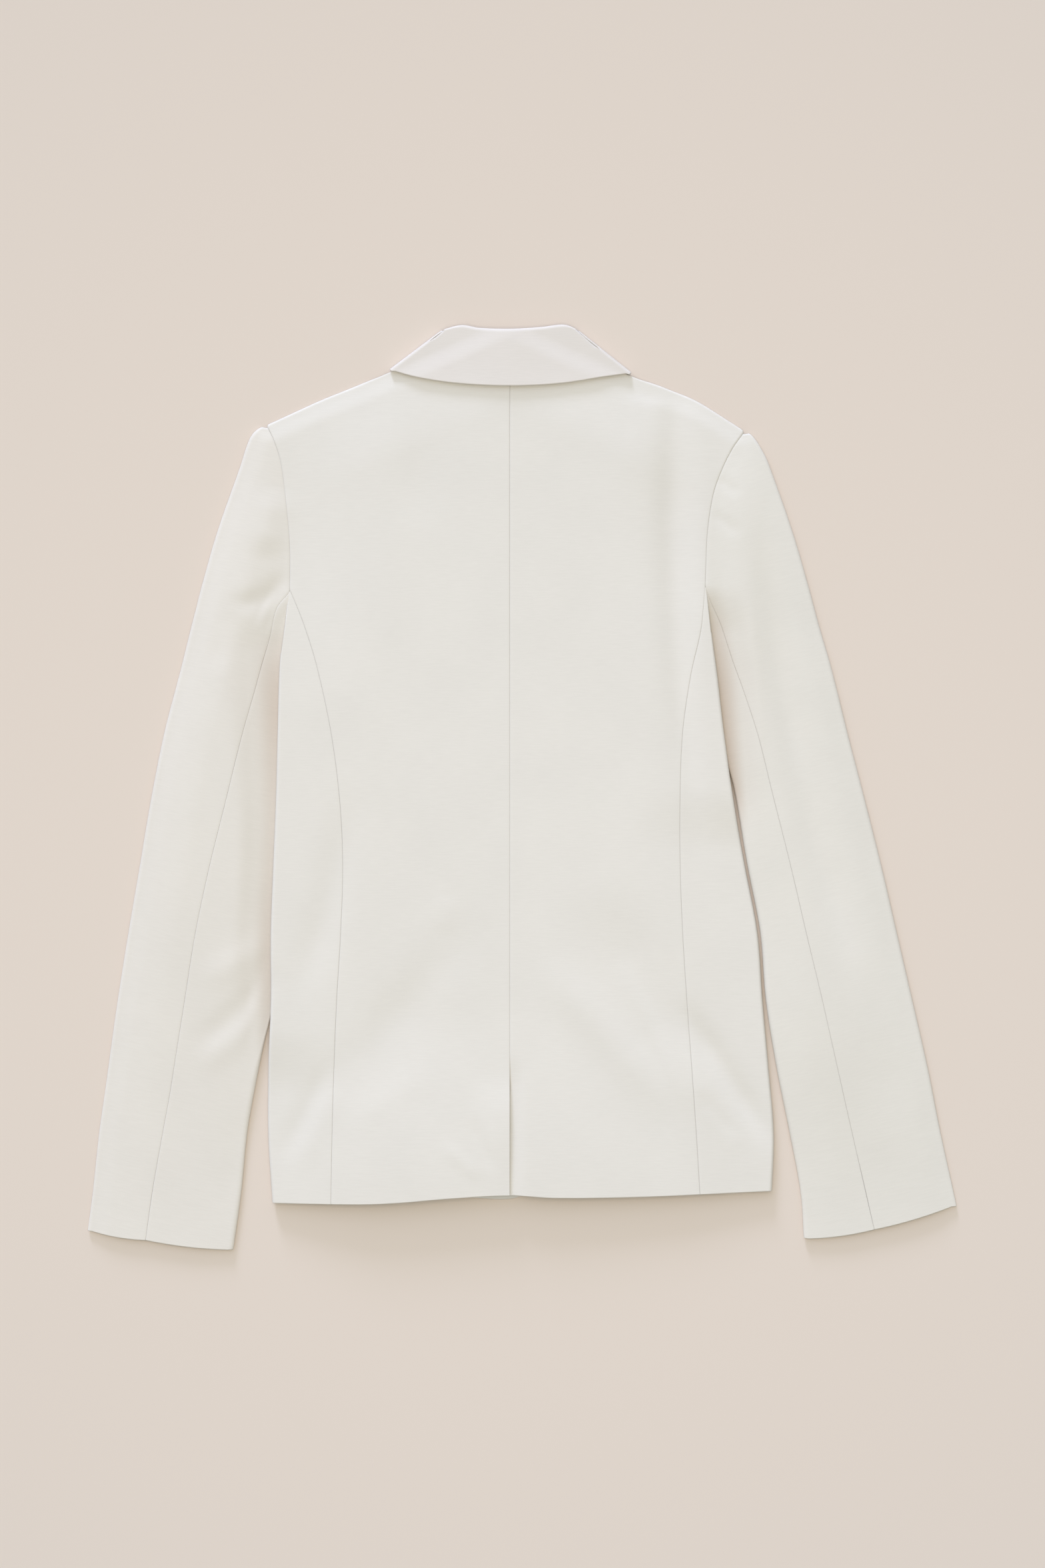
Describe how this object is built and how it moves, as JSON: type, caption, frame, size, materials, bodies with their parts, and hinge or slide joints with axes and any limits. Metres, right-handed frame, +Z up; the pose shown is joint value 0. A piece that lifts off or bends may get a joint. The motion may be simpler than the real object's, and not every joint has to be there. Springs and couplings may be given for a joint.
{
  "type": "blazer",
  "caption": "A hip-length knit blazer with a turned collar, princess seams, a centre back vent and two-piece sleeves, laid flat on its front with its sleeves at its sides",
  "frame": {"origin": "middle of the garment's bounding box, on the surface that it lies on", "axes": "+Z up off the surface, +Y towards the neck, +X towards the garment's right sleeve as seen from above"},
  "size_m": [0.679, 0.721, 0.01],
  "materials": {
    "body_knit": "matt off-white ponte knit",
    "sleeve_knit": "matt off-white ponte knit",
    "collar_knit": "matt off-white ponte knit"
  },
  "bodies": {
    "root": {"back_left": "body_knit", "back_right": "body_knit", "side_left": "body_knit", "side_right": "body_knit", "front_left": "body_knit", "front_right": "body_knit", "sleeve_upper_left": "sleeve_knit", "sleeve_upper_right": "sleeve_knit", "sleeve_under_left": "sleeve_knit", "sleeve_under_right": "sleeve_knit", "collar": "collar_knit"}
  },
  "joints": []
}
